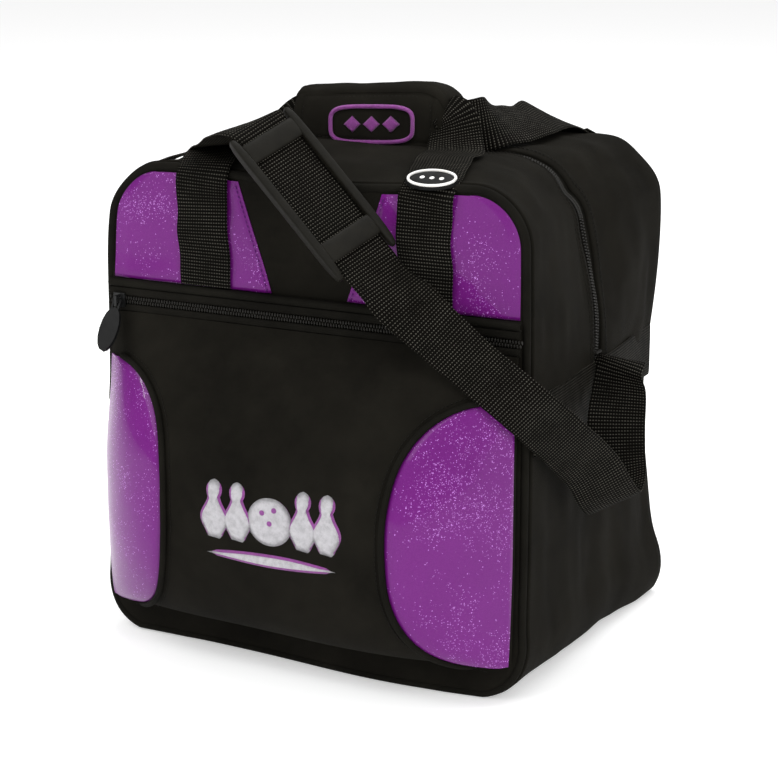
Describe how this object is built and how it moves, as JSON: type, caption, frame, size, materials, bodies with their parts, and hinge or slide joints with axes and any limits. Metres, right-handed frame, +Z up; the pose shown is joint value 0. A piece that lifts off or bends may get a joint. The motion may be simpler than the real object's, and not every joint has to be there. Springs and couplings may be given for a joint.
{
  "type": "bowling ball bag",
  "caption": "Boxy padded one-ball bowling bag with a domed zipped front pocket, glossy vinyl insets, two-loop handle in a wrap, arched top zip and shoulder strap.",
  "frame": {"origin": "middle of the flat base", "axes": "+Z up, front pocket faces -Y, +X to the right seen from the front"},
  "size_m": [0.4095, 0.3155, 0.3978],
  "materials": {
    "body_fabric": "black woven polyester, laminated to thin foam",
    "piping": "black fabric-covered cord piping",
    "zip_tape": "black woven zip tape",
    "zip_coil": "black nylon coil",
    "zip_metal": "black enamelled die-cast slider",
    "pull_rubber": "moulded black soft plastic",
    "vinyl": "purple glitter vinyl under a clear gloss film",
    "white_thread": "white satin-stitch embroidery with a purple edge",
    "purple_thread": "purple satin-stitch embroidery",
    "hook_and_loop": "black hook-and-loop tape",
    "webbing": "ribbed black polypropylene webbing",
    "slide_plastic": "moulded dark grey plastic",
    "board": "black plastic stiffening board",
    "foam": "dark grey closed-cell foam"
  },
  "bodies": {
    "bag_body": {"gusset_lower": "body_fabric", "gusset_rear_half": "body_fabric", "rear_panel": "body_fabric", "rear_piping": "piping", "front_panel_lower": "body_fabric", "front_piping_lower": "piping", "zip_tape_rear": "zip_tape", "zip_coil_rear": "zip_coil", "zip_end_left": "body_fabric", "zip_end_right": "body_fabric", "pocket_panel": "body_fabric", "pocket_inset_left": "vinyl", "pocket_inset_right": "vinyl", "inset_piping_left": "piping", "inset_piping_right": "piping", "pocket_emblem": "white_thread", "pocket_zip_binding": "body_fabric", "pocket_zip_tape_upper": "zip_tape", "pocket_zip_coil_upper": "zip_coil", "pocket_zip_coil_lower": "zip_coil", "pocket_zip_tape_lower": "zip_tape", "base_board": "board", "ball_cup": "foam", "side_band_left": "webbing", "side_band_right": "webbing", "strap_right_run": "webbing", "strap_left_run": "webbing", "rear_handle_loop": "webbing", "grip_wrap_rear": "body_fabric"},
    "front_half": {"gusset_front_half": "body_fabric", "front_panel_upper": "body_fabric", "front_piping_upper": "piping", "zip_tape_front": "zip_tape", "zip_coil_front": "zip_coil", "vinyl_panel_left": "vinyl", "vinyl_panel_right": "vinyl", "front_handle_loop": "webbing", "handle_badge": "pull_rubber", "grip_wrap_front": "body_fabric", "grip_loop_strip": "hook_and_loop", "strap_front_run": "webbing"},
    "shoulder_slide": {"shoulder_slide": "slide_plastic"},
    "grip_flap": {"grip_flap": "body_fabric", "grip_hook_strip": "hook_and_loop", "grip_emblem": "purple_thread"},
    "pocket_slider": {"pocket_zip_slider": "zip_metal"},
    "pocket_pull": {"pocket_zip_pull": "pull_rubber"},
    "main_slider": {"main_zip_slider": "zip_metal"},
    "main_pull": {"main_zip_pull": "pull_rubber"}
  },
  "joints": [
    {"name": "mouth_fold", "type": "hinge", "parent": "bag_body", "child": "front_half", "pos_m": [0, -0.134, 0.262], "axis": [1, 0, 0], "range_deg": [0, 90]},
    {"name": "pocket_zip_travel", "type": "slide", "parent": "bag_body", "child": "pocket_slider", "axis": [1, 0, 0], "range_m": [0, 0.14]},
    {"name": "pocket_pull_swing", "type": "hinge", "parent": "pocket_slider", "child": "pocket_pull", "pos_m": [-0.148, -0.1344, 0.2493], "axis": [-1, 0, 0], "range_deg": [0, 75]},
    {"name": "main_zip_travel", "type": "slide", "parent": "bag_body", "child": "main_slider", "axis": [0, 0, 1], "range_m": [0, 0.075]},
    {"name": "main_pull_swing", "type": "hinge", "parent": "main_slider", "child": "main_pull", "pos_m": [-0.1671, 0, 0.227], "axis": [0, 1, 0], "range_deg": [0, 150]},
    {"name": "strap_slide_travel", "type": "slide", "parent": "front_half", "child": "shoulder_slide", "axis": [0.6887, 0, -0.725], "range_m": [0, 0.014]},
    {"name": "grip_flap_swing", "type": "hinge", "parent": "front_half", "child": "grip_flap", "pos_m": [0, -0.0391, 0.3936], "axis": [-1, 0, 0], "range_deg": [0, 120]}
  ]
}
